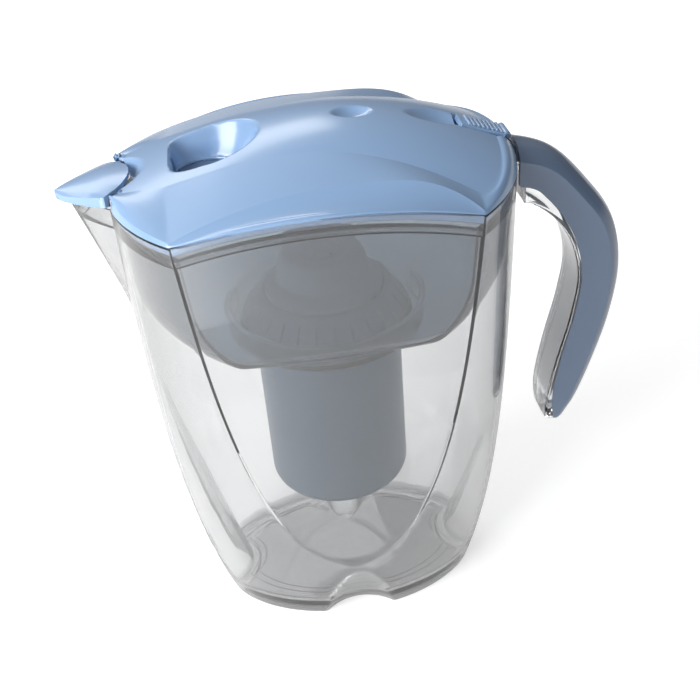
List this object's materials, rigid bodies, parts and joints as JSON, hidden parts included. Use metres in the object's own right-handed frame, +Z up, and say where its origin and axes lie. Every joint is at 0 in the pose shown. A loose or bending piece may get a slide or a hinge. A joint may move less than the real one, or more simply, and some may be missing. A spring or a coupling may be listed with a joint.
{
  "type": "water filter pitcher",
  "caption": "Clear water filter pitcher with a moulded handle, lift-out hopper and filter cartridge, and a domed lid with hinged fill and spout flaps.",
  "frame": {"origin": "middle of the foot, on the surface the pitcher stands on", "axes": "+Z up, +X towards the handle, -X towards the spout; the pitcher is mirror-symmetric about y = 0"},
  "size_m": [0.2402, 0.1262, 0.2439],
  "materials": {
    "clear_plastic": "clear gloss",
    "blue_plastic": "satin gloss",
    "smoke_plastic": "translucent smoke",
    "cartridge_plastic": "satin",
    "head_plastic": "translucent satin",
    "seal_rubber": "matte",
    "filter_mesh": "woven",
    "filter_granules": "granular",
    "pin_steel": "satin"
  },
  "bodies": {
    "jug": {"jug_shell": "clear_plastic", "handle_core": "clear_plastic", "handle_cover": "blue_plastic", "handle_peg": "head_plastic"},
    "hopper_tub": {"hopper": "smoke_plastic", "hopper_seat_seal": "seal_rubber"},
    "cartridge": {"cartridge_body": "cartridge_plastic", "cartridge_skirt": "head_plastic", "cartridge_knob": "head_plastic", "cartridge_seal": "seal_rubber", "inlet_mesh": "filter_mesh", "outlet_mesh": "filter_mesh", "filter_media": "filter_granules", "cartridge_spigot": "clear_plastic"},
    "lid": {"lid_shell": "blue_plastic", "fill_flap_pin": "pin_steel", "fill_flap_spring": "pin_steel", "spout_flap_pin": "pin_steel", "release_lever_pin": "pin_steel", "lever_spring": "pin_steel"},
    "fill_door": {"fill_flap": "blue_plastic"},
    "beak": {"spout_flap": "blue_plastic"},
    "lever": {"release_lever": "blue_plastic"}
  },
  "joints": [
    {"name": "hopper_lift", "type": "slide", "parent": "jug", "child": "hopper_tub", "axis": [0, 0, 1], "range_m": [0, 0.205]},
    {"name": "cartridge_lift", "type": "slide", "parent": "hopper_tub", "child": "cartridge", "axis": [0, 0, 1], "range_m": [0, 0.2]},
    {"name": "lid_lift", "type": "slide", "parent": "cartridge", "child": "lid", "axis": [0, 0, 1], "range_m": [0, 0.08]},
    {"name": "fill_flap_hinge", "type": "hinge", "parent": "lid", "child": "fill_door", "pos_m": [-0.05781, 0, 0.2204], "axis": [0, 1, 0], "range_deg": [0, 70], "stiffness_Nm_per_rad": 0.002, "springref_deg": -28.65},
    {"name": "spout_flap_hinge", "type": "hinge", "parent": "lid", "child": "beak", "pos_m": [-0.08001, 0, 0.2246], "axis": [0, 1, 0], "range_deg": [0, 30]},
    {"name": "release_lever_hinge", "type": "hinge", "parent": "lid", "child": "lever", "pos_m": [0.06416, 0, 0.23043], "axis": [0, 1, 0], "range_deg": [0, 4], "stiffness_Nm_per_rad": 0.02, "springref_deg": -5.73}
  ]
}
